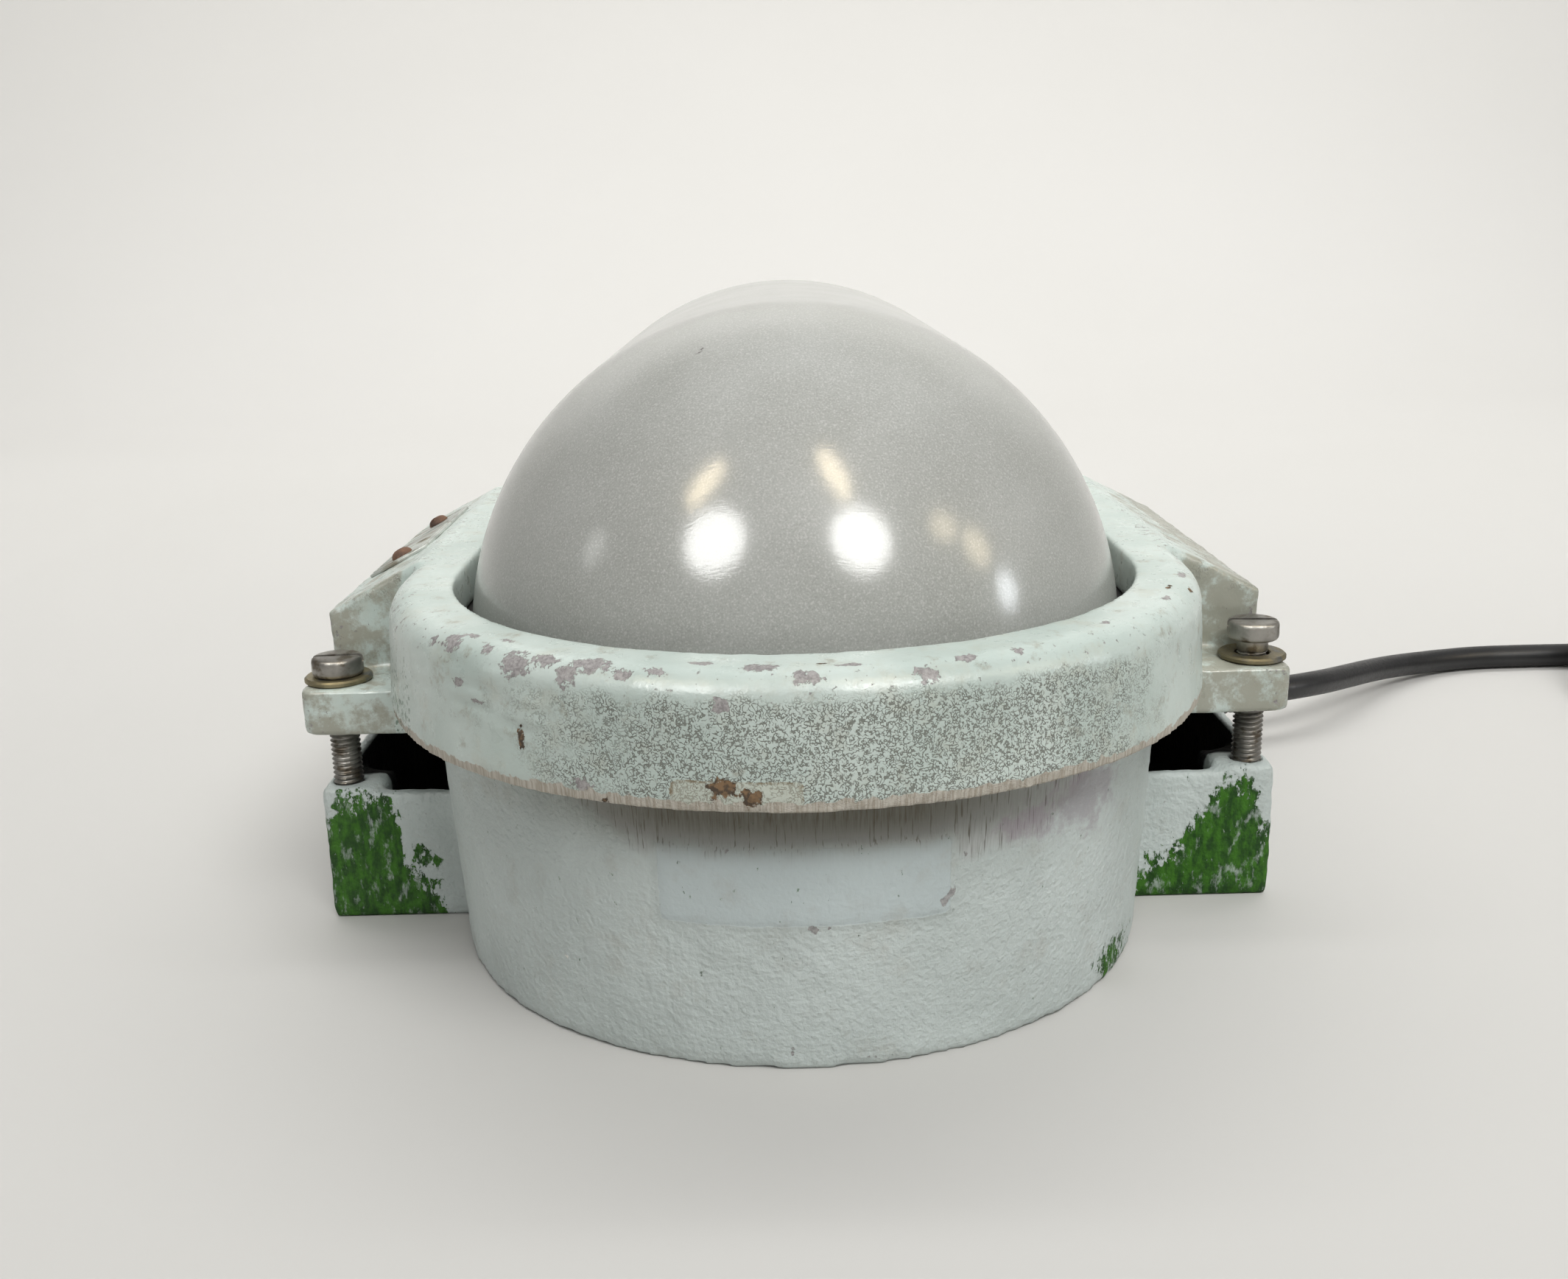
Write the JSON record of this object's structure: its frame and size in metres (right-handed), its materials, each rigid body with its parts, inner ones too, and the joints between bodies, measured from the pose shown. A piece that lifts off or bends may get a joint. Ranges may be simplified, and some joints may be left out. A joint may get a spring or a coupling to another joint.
{
  "type": "bulkhead luminaire",
  "caption": "Long oval cast-aluminium bulkhead light with a frosted glass dome, a screwed cover with ears and wings, lampholders inside and a black supply cord with a plug.",
  "frame": {"origin": "centre of the flat back face of the base casting", "axes": "+Z away from the wall towards the glass, +Y along the housing's length, +X across its width"},
  "size_m": [0.5394, 0.345, 0.1547],
  "materials": {
    "base_paint": "satin",
    "cover_paint": "satin",
    "frosted_glass": "gloss",
    "rubber_seal": "matte",
    "enamel_white": "gloss",
    "zinc_steel": "satin",
    "screw_steel": "satin",
    "washer_metal": "satin",
    "porcelain": "gloss",
    "brass": "satin",
    "terminal_plastic": "matte",
    "wire_brown": "satin",
    "wire_blue": "satin",
    "wire_green": "satin",
    "cord_black": "matte",
    "gland_black": "satin",
    "plug_black": "matte",
    "pin_nickel": "gloss",
    "plate_metal": "satin",
    "rusty_steel": "matte",
    "lamp_glass": "gloss",
    "lamp_cap": "satin"
  },
  "bodies": {
    "base": {"base_housing": "base_paint", "base_gasket": "rubber_seal", "gear_tray": "enamel_white", "tray_spacers": "zinc_steel", "tray_screws": "zinc_steel", "holder_bracket": "zinc_steel", "bracket_screws": "zinc_steel", "lampholder_near": "porcelain", "lampholder_far": "porcelain", "holder_shells": "brass", "holder_contacts": "brass", "terminal_block": "terminal_plastic", "terminal_screws": "brass", "earth_screw": "brass", "wires_live": "wire_brown", "wires_neutral": "wire_blue", "wire_earth": "wire_green", "cord_tail": "cord_black", "cable_gland_body": "gland_black", "gland_washer": "rubber_seal", "gland_nut": "gland_black", "gland_boot": "cord_black", "supply_cord": "cord_black", "cord_coil": "cord_black", "plug_lead": "cord_black", "coil_ties": "gland_black", "plug_body": "plug_black", "plug_pins": "pin_nickel", "blanking_plug": "base_paint", "blanking_washer": "rubber_seal"},
    "cover": {"cover_frame": "cover_paint", "glass_dome": "frosted_glass", "glass_gasket": "rubber_seal", "glass_clips": "zinc_steel", "clip_screws": "zinc_steel", "cover_washers": "washer_metal", "rating_plate": "plate_metal", "plate_screws": "rusty_steel"},
    "screw_near_left": {"cover_screw_near_left": "screw_steel"},
    "screw_near_right": {"cover_screw_near_right": "screw_steel"},
    "screw_far_left": {"cover_screw_far_left": "screw_steel"},
    "screw_far_right": {"cover_screw_far_right": "screw_steel"},
    "lamp_near": {"lamp_cap_near": "lamp_cap", "lamp_glass_near": "lamp_glass"},
    "lamp_far": {"lamp_cap_far": "lamp_cap", "lamp_glass_far": "lamp_glass"}
  },
  "joints": [
    {"name": "cover_lift", "type": "slide", "parent": "base", "child": "cover", "axis": [0, 0, 1], "range_m": [0, 0.12]},
    {"name": "screw_near_left_out", "type": "slide", "parent": "cover", "child": "screw_near_left", "axis": [0, 0, 1], "range_m": [0, 0.03]},
    {"name": "screw_near_right_out", "type": "slide", "parent": "cover", "child": "screw_near_right", "axis": [0, 0, 1], "range_m": [-0.0035, 0.03]},
    {"name": "screw_far_left_out", "type": "slide", "parent": "cover", "child": "screw_far_left", "axis": [0, 0, 1], "range_m": [0, 0.03]},
    {"name": "screw_far_right_out", "type": "slide", "parent": "cover", "child": "screw_far_right", "axis": [0, 0, 1], "range_m": [0, 0.03]},
    {"name": "lamp_near_out", "type": "slide", "parent": "base", "child": "lamp_near", "axis": [0, -1, 0], "range_m": [0, 0.024]},
    {"name": "lamp_far_out", "type": "slide", "parent": "base", "child": "lamp_far", "axis": [0, 1, 0], "range_m": [0, 0.024]}
  ]
}
